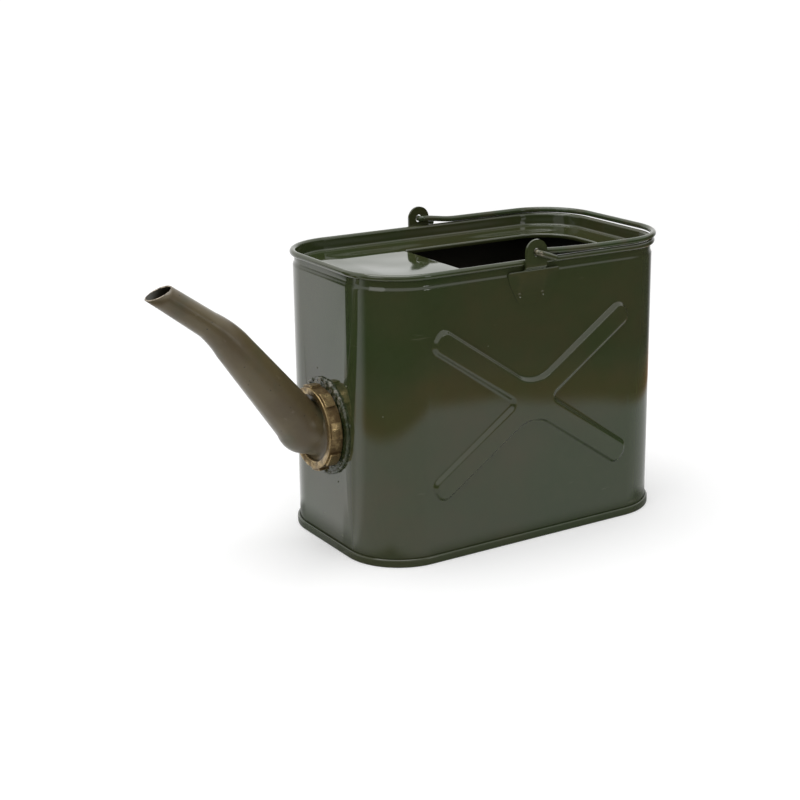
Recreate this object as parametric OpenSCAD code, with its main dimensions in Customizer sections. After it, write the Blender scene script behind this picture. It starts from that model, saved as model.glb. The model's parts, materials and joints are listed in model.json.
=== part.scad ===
// Oblong sheet-metal watering can with a locked-on spout and a folded wire bail.
// Millimetres. Z is up, the spout points to -X, the origin is the centre of the foot.

/* [Body] */
// Length of the body between the outer faces of its end walls
body_l = 307; // [250:1:380]
// Width of the body between the outer faces of its long walls
body_w = 178; // [150:1:220]
// Height from the foot of the chime to the top of the rim
body_h = 250; // [210:1:320]
// Radius of the body's four upright corners
corner_r = 50; // [40:1:60]
// Thickness of the body, base and top sheet
sheet_t = 0.9; // [0.7:0.1:1.2]

/* [Rim and chime] */
// Diameter of the rolled bead round the rim
bead_d = 5.4; // [4.6:0.1:6.5]
// How far the wall is necked in below the bead
neck_in = 1.2; // [0.8:0.1:1.5]
// Height of the necked band, from the shoulder to the top of the rim
neck_h = 12.5; // [11:0.5:16]
// Height of the double seam round the foot
chime_h = 7.2; // [6:0.1:9]
// How far the double seam stands out from the wall
chime_out = 2.4; // [1.8:0.1:3]
// Height of the base sheet above the foot
base_rise = 6; // [5:0.5:7]

/* [Top plate] */
// Depth of the plate below the top of the rim
plate_drop = 11.5; // [10:0.5:16]
// Length of the closed part of the plate, at the spout end
cover_l = 105; // [60:1:130]
// Width of the ledge along the long walls
ledge_side = 37; // [25:1:45]
// Width of the ledge at the end away from the spout
ledge_end = 29; // [20:1:45]
// Corner radius of the filling hole at the end away from the spout
mouth_r = 38; // [15:1:38]
// Corner radius of the filling hole at its straight edge
mouth_small_r = 6; // [3:1:12]

/* [Pressed cross] */
// How far the cross runs past the start of the round corners
cross_past = 1.5; // [-20:0.5:1.5]
// Plain wall above the cross, up to the shoulder
cross_top_gap = 35.5; // [30:0.5:55]
// Plain wall below the cross, down to the double seam
cross_foot_gap = 44.8; // [30:0.1:60]
// Width of an arm at its root
cross_w = 27; // [20:1:32]
// How far the cross is pressed out of the wall
cross_out = 3; // [2:0.1:4]
// Width of the sloping side of an arm
cross_slope = 3.5; // [2:0.5:5]
// Radius that fills the crossing
cross_hub_r = 18.8; // [17:0.1:24]

/* [Ears] */
// Place of the ears along the body, from its middle
ear_x = -1; // [-20:1:20]
// Height of the ear holes above the top of the rim
ear_rise = 6; // [6:0.5:12]
// Radius of the round eye of an ear
eye_r = 10.8; // [9:0.1:14]
// Gap between the ear strap and the rim bead
ear_gap = 0.3; // [0.2:0.1:1]
// Thickness of the ear strap
ear_t = 2; // [1.5:0.1:2.5]
// Width of the strap where it passes the rim
strap_w = 21; // [16:1:21]
// Width of the welded shield at its top
shield_top_w = 55; // [40:1:65]
// Width of the welded shield at its foot
shield_foot_w = 30; // [20:1:36]
// Height of the welded shield
shield_h = 25; // [18:1:28]

/* [Bail] */
// Diameter of the bail wire
wire_d = 5.2; // [4:0.1:5.5]
// Reach of the bail past the end wall's rim when it is folded down
bail_overhang = 2.5; // [1:0.1:4]
// Bend radius of the bail's two corners, at the middle of the wire
bail_corner_r = 52; // [30:1:60]
// Clear radius round the wire in the ear hole
ear_clear = 0.9; // [0.7:0.1:1.2]
// Gap between the wire and the faces of the ear
hook_gap = 0.4; // [0.3:0.1:0.8]
// Length of the hooked end outside the ear
hook_l = 15; // [12:1:22]
// Droop of the hooked end below the arm, in degrees
hook_droop = 19; // [0:1:25]
// Gap between the folded bail and the rim
bail_rest_gap = 0.3; // [0.2:0.1:1]

/* [Spout joint] */
// Height of the spout's axis at the end wall
spout_z = 107.5; // [90:0.5:140]
// How far the welded flange stands out past the lock ring's lugs
flange_over = 4.6; // [2:0.1:8]
// Thickness of the welded flange
flange_t = 1.8; // [1.2:0.1:3]
// Clearance of the spout's tube inside the gasket
gasket_clear = 3.9; // [1:0.1:5]
// Inward reach of the gasket past the socket's bore
gasket_lip = 2; // [1:0.1:3]
// Wall of the socket's neck
socket_wall = 3.2; // [2.5:0.1:4]
// Length of the neck in front of its flange
socket_l = 6; // [5:0.5:9]
// Thickness of the gasket
gasket_t = 2; // [1:0.1:3]
// Gap all round inside the lock ring
ring_clear = 0.3; // [0.2:0.05:0.4]
// Wall of the lock ring between its lugs
ring_wall = 2; // [1.6:0.1:3]
// Thickness of the lock ring's lip
ring_lip_t = 3.1; // [2:0.1:4]
// Number of lugs round the lock ring
lug_count = 8; // [6:1:12]
// Height of a lug above the ring
lug_out = 2.2; // [1.5:0.1:3]

/* [Spout] */
// Outer radius of the spout where its elbow starts
elbow_tube_r = 23.6; // [21:0.1:28]
// Outer radius of the spout where its elbow ends
run_foot_r = 20.6; // [18:0.1:22]
// Outer radius of the spout at the top of the long run
run_top_r = 15.1; // [13:0.1:17]
// Outer radius of the spout after its upper bend
neck_tube_r = 11.4; // [10.9:0.1:12.9]
// Outer radius of the spout at its tip
tip_r = 10.2; // [9:0.1:10.8]
// Wall of the spout
spout_wall = 1.2; // [0.8:0.1:1.6]
// Slope of the long run, in degrees
rise_angle = 52.5; // [45:0.5:60]
// Slope of the tip, in degrees
tip_angle = 37; // [25:0.5:42]
// Radius of the inside of the elbow's bend, at the tube's skin
elbow_inside_r = 0.4; // [0.2:0.1:20]
// Length of the long run
run_l = 93.6; // [60:0.1:130]
// Bend radius of the upper bend
upper_bend_r = 104; // [50:1:140]
// Length of the tip
tip_l = 50.5; // [30:0.5:80]
// Slant of the cut across the tip, in degrees
mouth_slant = 29; // [0:1:35]

/* [Hidden] */
$fn = 96;

seam_gap = 0.05;                       // clearance of a sheet edge inside a seam
eps = 0.01;                            // overlap of shapes that are cut away
paint = "#3a3f2a";
spout_brown = "#5a4d3a";
ring_brass = "#8a733f";
rubber_black = "#222222";

// rim
bead_r = bead_d / 2;
flange_u = neck_in + sheet_t + seam_gap;   // outer face of the plate's upstand, inside the neck
bead_u = bead_r - flange_u - sheet_t;      // middle of the bead from the wall's outer face
bead_out = bead_u + bead_r;
bead_z = body_h - bead_r;
shoulder_z = body_h - neck_h;
neck_slope_h = 1.5;
wall_top_drop = 0.3;                   // top of the wall below the middle of the bead
wall_top_z = bead_z - wall_top_drop;
plate_z = body_h - plate_drop;
plate_bend_r = 2;

// cross
cross_reach_x = body_l / 2 - corner_r + cross_past;
cross_z0 = chime_h + cross_foot_gap;
cross_z1 = shoulder_z - cross_top_gap;
cross_reach_z = (cross_z1 - cross_z0) / 2;
cross_z = (cross_z0 + cross_z1) / 2;

// foot
seam_depth_z = 2.2;                    // foot of the wall inside the chime
chime_in = sheet_t + seam_gap + sheet_t;
chime_round_r = 1.5;

// filling hole
plate_inset = flange_u + sheet_t;
mouth_x0 = -body_l / 2 + plate_inset + cover_l;
mouth_x1 = body_l / 2 - plate_inset - ledge_end;
mouth_y = body_w / 2 - plate_inset - ledge_side;

// ears and bail
ear_in_y = body_w / 2 + bead_out + ear_gap;
ear_mid_y = ear_in_y + ear_t / 2;
pivot_z = body_h + ear_rise;
wire_r = wire_d / 2;
hook_bend_r = hook_gap + wire_r;           // the wire runs straight through the ear and bends on each side
arm_y = ear_mid_y - ear_t / 2 - hook_bend_r;
hook_y = ear_mid_y + ear_t / 2 + hook_bend_r;
bail_l = body_l / 2 - ear_x + bail_overhang;
bail_drop = ear_rise - wire_r - bail_rest_gap;
bail_slope = asin(bail_drop / bail_l);
shield_drop = 1;                       // top of the shield below the shoulder, and its lap on the strap
shield_top_z = shoulder_z - shield_drop;
joggle_h = 5;
shield_corner_r = 5;
shield_side_in = 3.5;                  // inward step of the shield's side at its shoulder
shield_side_z = 7.5;

// spout joint, measured along its axis from the end wall's outer face
gasket_bore_r = elbow_tube_r + gasket_clear;
socket_bore_r = gasket_bore_r + gasket_lip;
socket_r = socket_bore_r + socket_wall;
spigot_wall = 1.5;
spigot_in = 2.5;
spigot_gap = 0.2;                      // gap round the spigot in the wall's hole
gasket_edge = 0.5;                     // inward step of the gasket's edge from the neck's
gasket_z = flange_t + socket_l;
spout_flange_z = gasket_z + gasket_t;
spout_flange_t = 1.8;
spout_flange_edge = 0.2;               // inward step of the spout flange's edge from the neck's
spout_flange_r = socket_r - spout_flange_edge;
ring_bore_r = socket_r + ring_clear;
ring_r = ring_bore_r + ring_wall;
ring_foot_gap = 0.8;
ring_z0 = flange_t + ring_foot_gap;
lip_z = spout_flange_z + spout_flange_t + ring_clear;
ring_z1 = lip_z + ring_lip_t;
flare_out = 4;                         // flare where the tube meets its flange
flare_r = elbow_tube_r + flare_out;
flare_h = 4;
lip_clear = 1.2;                       // gap between the flare and the ring's lip
lip_r = flare_r + lip_clear;
flange_r = ring_r + lug_out + flange_over;
lug_angle = 180 / lug_count;
lug_middle = 10.5;                     // turn of a lug's middle up from -Y
lug_phase = lug_middle - lug_angle / 2;
lug_set_in = 1.4;

tube_z = gasket_z;                     // the tube starts inside the gasket
tube_lead = 0.7;                       // straight tube before the elbow
elbow_z = tube_z + tube_lead;
elbow_r = elbow_tube_r + elbow_inside_r;

// Sections of the spout: [out along the axis, up, slope, outer radius]
elbow_steps = 6;
upper_steps = 4;
function blend(a, b, f) = a + (b - a) * f;
function elbow_at(f) = let (a = rise_angle * f)
    [elbow_z + elbow_r * sin(a), elbow_r * (1 - cos(a)), a, blend(elbow_tube_r, run_foot_r, f)];
function ahead(p, l, r) = [p[0] + l * cos(p[2]), p[1] + l * sin(p[2]), p[2], r];
run_top = ahead(elbow_at(1), run_l, run_top_r);
function upper_at(f) = let (a = blend(rise_angle, tip_angle, f))
    [run_top[0] + upper_bend_r * (sin(rise_angle) - sin(a)),
     run_top[1] + upper_bend_r * (cos(a) - cos(rise_angle)), a, blend(run_top_r, neck_tube_r, f)];
sections = concat([[tube_z, 0, 0, elbow_tube_r]],
                  [for (i = [0 : elbow_steps]) elbow_at(i / elbow_steps)],
                  [for (i = [0 : upper_steps]) upper_at(i / upper_steps)],
                  [ahead(upper_at(1), tip_l, tip_r)]);
spout_sides = 28;

// ---------- helpers ----------

// Rounded outline, drawn from squares and true circles
module outline(l, w, r) {
    square([l - 2 * r, w], center = true);
    square([l, w - 2 * r], center = true);
    for (sx = [-1, 1], sy = [-1, 1])
        translate([sx * (l / 2 - r), sy * (w / 2 - r)]) circle(r);
}

// Runs a profile round the body: its x is outward from the wall's outer face, its y is height
module around_body() {
    for (q = [0 : 3]) {
        sx = (q == 0 || q == 3) ? 1 : -1;
        sy = (q < 2) ? 1 : -1;
        translate([sx * (body_l / 2 - corner_r), sy * (body_w / 2 - corner_r), 0])
            rotate([0, 0, q * 90]) rotate_extrude(angle = 90) translate([corner_r, 0]) children();
    }
    for (s = [0, 180]) {
        rotate([0, 0, s]) translate([0, body_w / 2, 0]) rotate([90, 0, 90])
            linear_extrude(body_l - 2 * corner_r, center = true) children();
        rotate([0, 0, s]) translate([body_l / 2, 0, 0]) rotate([90, 0, 0])
            linear_extrude(body_w - 2 * corner_r, center = true) children();
    }
}

// Flat sheet inside the body, set in from the wall's outer face
module inner_sheet(inset, z, t) {
    translate([0, 0, z]) linear_extrude(t)
        outline(body_l - 2 * inset, body_w - 2 * inset, corner_r - inset);
}

// Puts +Z along the spout's axis, out from the end wall
module on_spout_axis() {
    translate([-body_l / 2, 0, spout_z]) rotate([0, -90, 0]) children();
}

// Round tube section between two radii and two places on the axis
module collar(r0, r1, z0, z1) {
    translate([0, 0, z0]) rotate_extrude() translate([r0, 0]) square([r1 - r0, z1 - z0]);
}

// ---------- body ----------

module wall_profile() {
    polygon([[0, seam_depth_z], [0, shoulder_z], [-neck_in, shoulder_z + neck_slope_h],
             [-neck_in, wall_top_z], [-neck_in - sheet_t, wall_top_z],
             [-neck_in - sheet_t, shoulder_z + neck_slope_h - sheet_t / 2],
             [-sheet_t, shoulder_z - sheet_t / 2], [-sheet_t, seam_depth_z]]);
}

// One arm of the pressed cross: a ridge with sloping sides and round sloping ends, rising along +Z
module cross_arm(half_w, rise) {
    reach_x = cross_reach_x - cross_w / 2;
    reach_z = cross_reach_z - cross_w / 2;
    half_l = norm([reach_x, reach_z]);
    top = half_w - cross_slope;
    rotate([0, 0, atan2(reach_z, reach_x)]) {
        rotate([90, 0, 90]) linear_extrude(2 * half_l, center = true)
            polygon([[-half_w, 0], [half_w, 0], [top, rise], [-top, rise]]);
        for (s = [-1, 1]) translate([s * half_l, 0, 0]) cylinder(r1 = half_w, r2 = top, h = rise);
    }
}

module cross(less, rise) {
    half_w = cross_w / 2 - less;
    hub = cross_hub_r - less;
    cross_arm(half_w, rise);
    mirror([1, 0, 0]) cross_arm(half_w, rise);
    cylinder(r1 = hub, r2 = hub - cross_slope, h = rise);
}

// Places a shape on both long walls, +Z outward and +Y up
module on_long_walls(depth) {
    for (s = [0, 180]) rotate([0, 0, s])
        translate([0, -body_w / 2 + depth, cross_z]) rotate([90, 0, 0]) children();
}

module body_shell() color(paint) {
    difference() {
        union() {
            around_body() wall_profile();
            on_long_walls(sheet_t / 2) cross(0, cross_out + sheet_t / 2);
        }
        on_long_walls(sheet_t + eps) cross(sheet_t, cross_out + eps);
        on_spout_axis() translate([0, 0, -2 * sheet_t])
            cylinder(r = socket_bore_r + spigot_wall + spigot_gap, h = 4 * sheet_t);
    }
}

module chime_profile() {
    foot_w = chime_in + chime_out - 2 * chime_round_r;
    difference() {
        union() {
            translate([chime_round_r - chime_in, chime_round_r]) circle(chime_round_r);
            translate([chime_out - chime_round_r, chime_round_r]) circle(chime_round_r);
            translate([chime_out - chime_round_r, chime_h - chime_round_r]) circle(chime_round_r);
            translate([chime_round_r - chime_in, 0]) square([foot_w, chime_h]);
            translate([-chime_in, chime_round_r])
                square([chime_in + chime_out, chime_h - 2 * chime_round_r]);
            translate([-chime_in, chime_round_r]) square([chime_in, base_rise + sheet_t - chime_round_r]);
        }
        translate([-sheet_t - seam_gap, seam_depth_z - seam_gap])
            square([sheet_t + 2 * seam_gap, chime_h]);
    }
}

module base_pan() color(paint) {
    around_body() chime_profile();
    inner_sheet(chime_in - sheet_t / 2, base_rise, sheet_t);
}

// Rim bead, upstand and the bend down to the plate
module rim_profile() {
    bend_u = -flange_u - sheet_t - plate_bend_r;
    bend_z = plate_z + plate_bend_r;
    difference() {
        union() {
            translate([bead_u, bead_z]) circle(bead_r);
            translate([-flange_u - sheet_t, bend_z]) square([sheet_t, bead_z - bend_z]);
            intersection() {
                translate([bend_u, bend_z]) difference() {
                    circle(plate_bend_r + sheet_t);
                    circle(plate_bend_r);
                }
                translate([bend_u, plate_z - sheet_t])
                    square([plate_bend_r + sheet_t, plate_bend_r + sheet_t]);
            }
        }
        translate([-neck_in - sheet_t - seam_gap, wall_top_z + seam_gap - body_h])
            square([sheet_t + 2 * seam_gap, body_h]);
    }
}

module mouth_outline() {
    small = mouth_small_r;
    translate([mouth_x0 + small, -mouth_y]) square([mouth_x1 - mouth_r - mouth_x0 - small, 2 * mouth_y]);
    translate([mouth_x0, -mouth_y + small]) square([small + eps, 2 * (mouth_y - small)]);
    translate([mouth_x1 - mouth_r - eps, -mouth_y + mouth_r]) square([mouth_r + eps, 2 * (mouth_y - mouth_r)]);
    for (s = [-1, 1]) {
        translate([mouth_x0 + small, s * (mouth_y - small)]) circle(small);
        translate([mouth_x1 - mouth_r, s * (mouth_y - mouth_r)]) circle(mouth_r);
    }
}

module top_plate() color(paint) {
    around_body() rim_profile();
    difference() {
        inner_sheet(flange_u + sheet_t + plate_bend_r, plate_z - sheet_t, sheet_t);
        translate([0, 0, plate_z - 2 * sheet_t]) linear_extrude(3 * sheet_t) mouth_outline();
    }
}

// ---------- ears and bail ----------

module shield_outline() {
    foot = shield_foot_w / 2;
    top = shield_top_w / 2;
    z0 = shield_top_z - shield_h;
    polygon([[-top, shield_top_z], [top, shield_top_z],
             [top - shield_side_in, shield_top_z - shield_side_z],
             [foot, z0 + shield_corner_r], [foot - shield_corner_r, z0],
             [shield_corner_r - foot, z0], [-foot, z0 + shield_corner_r],
             [shield_side_in - top, shield_top_z - shield_side_z]]);
    for (s = [-1, 1]) translate([s * (foot - shield_corner_r), z0 + shield_corner_r])
        circle(shield_corner_r);
}

// Ear on the +Y side; the strap steps out from the wall to pass the bead
module ear() color(paint) {
    wall_y = body_w / 2;
    step_z = shield_top_z + joggle_h;
    translate([ear_x, 0, 0]) difference() {
        union() {
            translate([0, wall_y + ear_t, 0]) rotate([90, 0, 0]) linear_extrude(ear_t) shield_outline();
            rotate([90, 0, 90]) linear_extrude(strap_w, center = true)
                polygon([[wall_y, shield_top_z - shield_drop], [wall_y + ear_t, shield_top_z - shield_drop],
                         [wall_y + ear_t, shield_top_z], [ear_in_y + ear_t, step_z],
                         [ear_in_y + ear_t, pivot_z], [ear_in_y, pivot_z],
                         [ear_in_y, step_z], [wall_y, shield_top_z]]);
            translate([0, ear_in_y + ear_t, pivot_z]) rotate([90, 0, 0]) cylinder(r = eye_r, h = ear_t);
        }
        translate([0, ear_in_y + 2 * ear_t, pivot_z]) rotate([90, 0, 0])
            cylinder(r = wire_r + ear_clear, h = 3 * ear_t);
    }
}

module ear_back() ear();

module ear_front() mirror([0, 1, 0]) ear();

// Half of the bail on the +Y side, lying along +X from the ear hole
module bail_half() {
    translate([hook_bend_r, arm_y, 0]) rotate([0, 90, 0])
        cylinder(r = wire_r, h = bail_l - bail_corner_r - hook_bend_r);
    translate([bail_l - bail_corner_r, arm_y - bail_corner_r, 0])
        rotate_extrude(angle = 90) translate([bail_corner_r, 0]) circle(wire_r);
    translate([bail_l, arm_y - bail_corner_r, 0]) rotate([90, 0, 0])
        cylinder(r = wire_r, h = arm_y - bail_corner_r);
    hook_quarter(arm_y + hook_bend_r, 180);
    translate([0, ear_mid_y + ear_t / 2, 0]) rotate([90, 0, 0]) cylinder(r = wire_r, h = ear_t);
    translate([0, ear_mid_y + ear_t / 2, 0]) sphere(wire_r);
    rotate([0, hook_droop, 0]) {
        hook_quarter(hook_y - hook_bend_r, 90);
        translate([hook_bend_r, hook_y, 0]) rotate([0, 90, 0]) cylinder(r = wire_r, h = hook_l);
        translate([hook_bend_r + hook_l, hook_y, 0]) sphere(wire_r);
    }
}

// Quarter turn of the hook, which starts or ends on the hole's axis
module hook_quarter(middle_y, start) {
    translate([hook_bend_r, middle_y, 0]) rotate([0, 0, start])
        rotate_extrude(angle = 90) translate([hook_bend_r, 0]) circle(wire_r);
}

module bail() color(paint) {
    translate([ear_x, 0, pivot_z]) rotate([0, bail_slope, 0]) {
        bail_half();
        mirror([0, 1, 0]) bail_half();
    }
}

// ---------- spout joint ----------

// The flange is bent to the wall, so that it lies on the round corners too
module spout_socket() color(paint) {
    difference() {
        intersection() {
            around_body() translate([0, spout_z - flange_r]) square([flange_t, 2 * flange_r]);
            on_spout_axis() translate([0, 0, -flange_r]) cylinder(r = flange_r, h = 2 * flange_r);
        }
        on_spout_axis() translate([0, 0, -flange_r]) cylinder(r = socket_bore_r, h = 2 * flange_r);
    }
    on_spout_axis() {
        collar(socket_bore_r, socket_r, flange_t - sheet_t, flange_t + socket_l);
        collar(socket_bore_r, socket_bore_r + spigot_wall, -sheet_t - spigot_in, flange_t);
    }
}

module gasket() color(rubber_black) on_spout_axis()
    collar(gasket_bore_r, socket_r - gasket_edge, gasket_z, gasket_z + gasket_t);

module lock_ring() color(ring_brass) on_spout_axis() {
    collar(ring_bore_r, ring_r, ring_z0, ring_z1);
    collar(lip_r, ring_bore_r + eps, lip_z, ring_z1);
    for (i = [0 : lug_count - 1]) rotate([0, 0, -90 + lug_phase + i * 2 * lug_angle])
        translate([0, 0, ring_z0 + lug_set_in]) rotate_extrude(angle = lug_angle)
            translate([ring_r - eps, 0]) square([lug_out + eps, ring_z1 - ring_z0 - 2 * lug_set_in]);
}

// One ring of points round a section; slant tilts it about its own middle
function ring_points(p, less, slant) = [for (j = [0 : spout_sides - 1])
    let (t = 360 * j / spout_sides, r = p[3] - less, n = r * cos(t), back = n * tan(slant))
    [p[1] + n * cos(p[2]) - back * sin(p[2]), r * sin(t), p[0] - n * sin(p[2]) - back * cos(p[2])]];

// Bent and tapered tube through the sections, cut slantwise at its tip
module spout_tube() {
    m = len(sections);
    n = spout_sides;
    slants = [for (i = [0 : m - 1]) i == m - 1 ? mouth_slant : 0];
    points = [for (less = [0, spout_wall], i = [0 : m - 1])
        each ring_points(sections[i], less, slants[i])];
    function at(wall, i, j) = (wall * m + i) * n + j % n;
    faces = [for (wall = [0, 1], i = [0 : m - 2], j = [0 : n - 1])
        let (q = [at(wall, i, j), at(wall, i + 1, j), at(wall, i + 1, j + 1), at(wall, i, j + 1)])
        each wall == 0 ? [[q[0], q[1], q[2]], [q[0], q[2], q[3]]] : [[q[2], q[1], q[0]], [q[3], q[2], q[0]]]];
    foot = [for (j = [0 : n - 1]) each [[at(0, 0, j), at(0, 0, j + 1), at(1, 0, j + 1)],
                                        [at(0, 0, j), at(1, 0, j + 1), at(1, 0, j)]]];
    mouth = [for (j = [0 : n - 1]) each [[at(1, m - 1, j + 1), at(0, m - 1, j + 1), at(0, m - 1, j)],
                                         [at(1, m - 1, j), at(1, m - 1, j + 1), at(0, m - 1, j)]]];
    polyhedron(points, concat(faces, foot, mouth));
}

module spout() color(spout_brown) on_spout_axis() {
    flange_top = spout_flange_z + spout_flange_t;
    set_in = spout_wall / 2;
    spout_tube();
    collar(elbow_tube_r - set_in, spout_flange_r, spout_flange_z, flange_top);
    translate([0, 0, flange_top]) rotate_extrude()
        polygon([[elbow_tube_r - set_in, -eps], [flare_r, -eps], [elbow_tube_r - set_in, flare_h]]);
}

body_shell();
base_pan();
top_plate();
ear_front();
ear_back();
bail();
spout_socket();
gasket();
lock_ring();
spout();
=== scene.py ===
"""Finish of an oblong watering can: painted sheet body, wire bail, lock ring and spout."""

import json
import math

import bmesh
import bpy
from bpy.props import (FloatProperty, FloatVectorProperty, IntProperty,
                       PointerProperty)
from mathutils import Matrix, Vector, noise


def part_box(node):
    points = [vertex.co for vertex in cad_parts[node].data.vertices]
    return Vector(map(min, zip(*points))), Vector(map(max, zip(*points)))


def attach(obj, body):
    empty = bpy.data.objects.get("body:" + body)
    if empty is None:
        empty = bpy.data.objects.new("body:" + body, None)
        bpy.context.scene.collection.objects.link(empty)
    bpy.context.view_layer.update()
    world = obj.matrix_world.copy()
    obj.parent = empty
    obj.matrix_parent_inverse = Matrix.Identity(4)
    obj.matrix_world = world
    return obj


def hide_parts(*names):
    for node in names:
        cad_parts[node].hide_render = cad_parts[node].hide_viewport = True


bl_info = {
    "name": "Oblong Watering Can",
    "version": (1, 0, 0),
    "blender": (4, 5, 0),
    "location": "3D View > Sidebar > Watering Can",
    "description": "Makes the painted body, bail, lock ring and spout of an oblong watering can",
    "category": "Add Mesh",
}

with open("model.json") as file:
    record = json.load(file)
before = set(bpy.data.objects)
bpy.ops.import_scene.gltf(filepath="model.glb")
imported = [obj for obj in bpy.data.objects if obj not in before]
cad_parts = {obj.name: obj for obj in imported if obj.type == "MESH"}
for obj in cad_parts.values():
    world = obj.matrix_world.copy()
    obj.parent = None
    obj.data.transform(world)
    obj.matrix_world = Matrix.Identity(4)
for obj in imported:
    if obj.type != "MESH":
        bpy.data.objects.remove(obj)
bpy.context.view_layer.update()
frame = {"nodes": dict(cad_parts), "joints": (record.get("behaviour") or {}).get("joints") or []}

MM = 0.001
UP = Vector((0, 0, 1))
QUARTER = math.pi / 2
MERGE = 0.004 * MM                      # points closer than this are one point

# Places taken from the frame
WALL_LO, WALL_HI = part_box("body_shell")
PAN_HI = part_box("base_pan")[1]
RIM_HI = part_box("top_plate")[1]
EAR_LO, EAR_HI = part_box("ear_back")
SOCKET_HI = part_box("spout_socket")[1]
RING_LO, RING_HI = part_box("lock_ring")

HALF_L = WALL_HI.x                      # the end wall's outer face
CHIME_OUT = PAN_HI.x - HALF_L
HALF_W = PAN_HI.y - CHIME_OUT           # the long wall's outer face
TOP_Z = RIM_HI.z
JOINTS = {j["name"]: j for j in frame["joints"]}
PIVOT = Vector(JOINTS["bail_swing"]["pos_m"])
SPOUT_AXIS = Vector(JOINTS["ring_turn"]["pos_m"])


# ---------- sizes and colours ----------

def length(name, description, value, **more):
    """A length property in metres whose default is given in millimetres."""
    return FloatProperty(name=name, description=description, default=value * MM,
                         unit="LENGTH", subtype="DISTANCE", precision=5, **more)


def angle(name, description, degrees):
    """An angle property whose default is given in degrees."""
    return FloatProperty(name=name, description=description, default=math.radians(degrees),
                         unit="ROTATION", subtype="ANGLE")


def colour(name, description, value):
    """A colour property."""
    return FloatVectorProperty(name=name, description=description, default=value, size=3,
                               min=0, max=1, subtype="COLOR")


def share(name, description, value, top=1.0):
    """A plain number from 0 to top."""
    return FloatProperty(name=name, description=description, default=value, min=0, max=top)


class BodySettings(bpy.types.PropertyGroup):
    """Sizes of the body's sheets"""
    corner_r: length("Corner radius", "Radius of the body's four upright corners", 50)
    sheet_t: length("Sheet", "Thickness of the body's sheet", 0.9)
    bead_d: length("Bead", "Diameter of the rolled bead round the rim", 5.4)
    neck_in: length("Neck depth", "How far the wall is necked in below the bead", 1.2)
    neck_h: length("Neck height", "Height from the shoulder to the top of the rim", 12.5)
    plate_t: length("Plate", "Thickness of the top plate and its bead", 0.8)
    plate_drop: length("Plate depth", "Depth of the top plate below the rim", 11.5)
    plate_bend_r: length("Plate bend", "Inside radius where the plate turns up to the rim", 2)
    cover_l: length("Cover", "Length of the closed part of the plate, at the spout end", 105)
    ledge_side: length("Side ledge", "Width of the ledge along the long walls", 37)
    ledge_end: length("End ledge", "Width of the ledge away from the spout", 29)
    mouth_r: length("Mouth corner", "Corner radius of the filling hole at its round end", 38)
    mouth_small_r: length("Mouth small corner", "Corner radius at the straight edge", 6)
    chime_h: length("Foot seam", "Height of the double seam round the foot", 7.2)


class CrossSettings(bpy.types.PropertyGroup):
    """Sizes of the cross pressed into the long walls"""
    reach_x: length("Reach along", "Half length of the cross along the wall", 102.6)
    reach_z: length("Reach up", "Half height of the cross", 74.6)
    middle_z: length("Middle", "Height of the middle of the cross above the foot", 127)
    half_w: length("Half width", "Half the width of an arm at its foot", 12.9)
    slope: length("Slope", "Width of the rounded side of an arm", 4.2)
    end_r: length("Arm end", "Corner radius at the end of an arm", 11.2)
    wide_fillet: length("Wide fillet", "Length of the fillet above and below the crossing", 17)
    tight_fillet: length("Tight fillet", "Length of the fillet beside the crossing", 4)


class EarSettings(bpy.types.PropertyGroup):
    """Sizes of the welded ears"""
    strap_w: length("Strap", "Width of the strap where it passes the rim", 21)
    strap_t: length("Strap thickness", "Thickness of the strap and its eye", 2)
    shield_t: length("Shield thickness", "Thickness of the shield on the wall", 0.7)
    shield_top_w: length("Shield top", "Width of the shield at its top", 55)
    shield_foot_w: length("Shield foot", "Width of the shield at its foot", 30)
    shield_h: length("Shield height", "Height of the shield, up to the bead", 29.5)
    joggle_h: length("Joggle", "Height over which the strap steps out past the bead", 4.6)
    hole_clear: length("Hole clearance", "Clear radius round the wire in the ear hole", 0.9)
    weld_r: length("Spot weld", "Radius of the dimple left by a spot weld", 2.6)


class BailSettings(bpy.types.PropertyGroup):
    """Sizes of the wire bail"""
    wire_d: length("Wire", "Diameter of the bail wire", 5.2)
    reach: length("Reach", "Distance from the ear holes to the middle of the end bar", 157)
    bar_gap: length("Bar gap", "Gap between the end bar and the rim it lies over", 0.3)
    corner_r: length("Corner", "Bend radius of the bail's two corners", 52)
    hook_bend_r: length("Hook bend", "Bend radius beside the ear", 3)
    hook_l: length("Hook", "Length of the hooked end outside the ear", 15)
    bow: length("Bow", "How far the front arm bows down", 1.7)
    bent: share("Bent", "How much of its gap above the rim the bent back arm closes", 0.95)
    hook_droop: angle("Droop", "Droop of the hooked end below the arm", 19)


class JointSettings(bpy.types.PropertyGroup):
    """Sizes of the socket and the lock ring"""
    neck_r: length("Neck", "Outer radius of the socket's neck", 32.7)
    bore_r: length("Bore", "Radius of the socket's bore", 29.5)
    flange_t: length("Flange", "Thickness of the welded flange", 1.8)
    neck_l: length("Neck length", "Length of the neck in front of its flange", 6)
    spigot_t: length("Spigot wall", "Wall of the spigot that passes through the can's wall", 1.5)
    spigot_gap: length("Spigot gap", "Gap between the spigot and the hole in the wall", 0.2)
    weld_r: length("Weld", "Radius of the weld bead round the flange", 1.9)
    ring_bore_r: length("Ring bore", "Radius inside the lock ring", 33)
    ring_r: length("Ring", "Outer radius of the ring between its lugs", 35)
    lip_r: length("Lip", "Radius inside the ring's lip", 28.8)
    lip_t: length("Lip thickness", "Thickness of the ring's lip", 3.1)
    lug_inset: length("Lug inset", "Distance from a lug to each end of the ring", 1.4)
    lugs: IntProperty(name="Lugs", description="Number of lugs round the ring", default=8, min=3)
    lug_start: angle("Lug start", "Turn of the first lug's lower side", -0.75)


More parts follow.
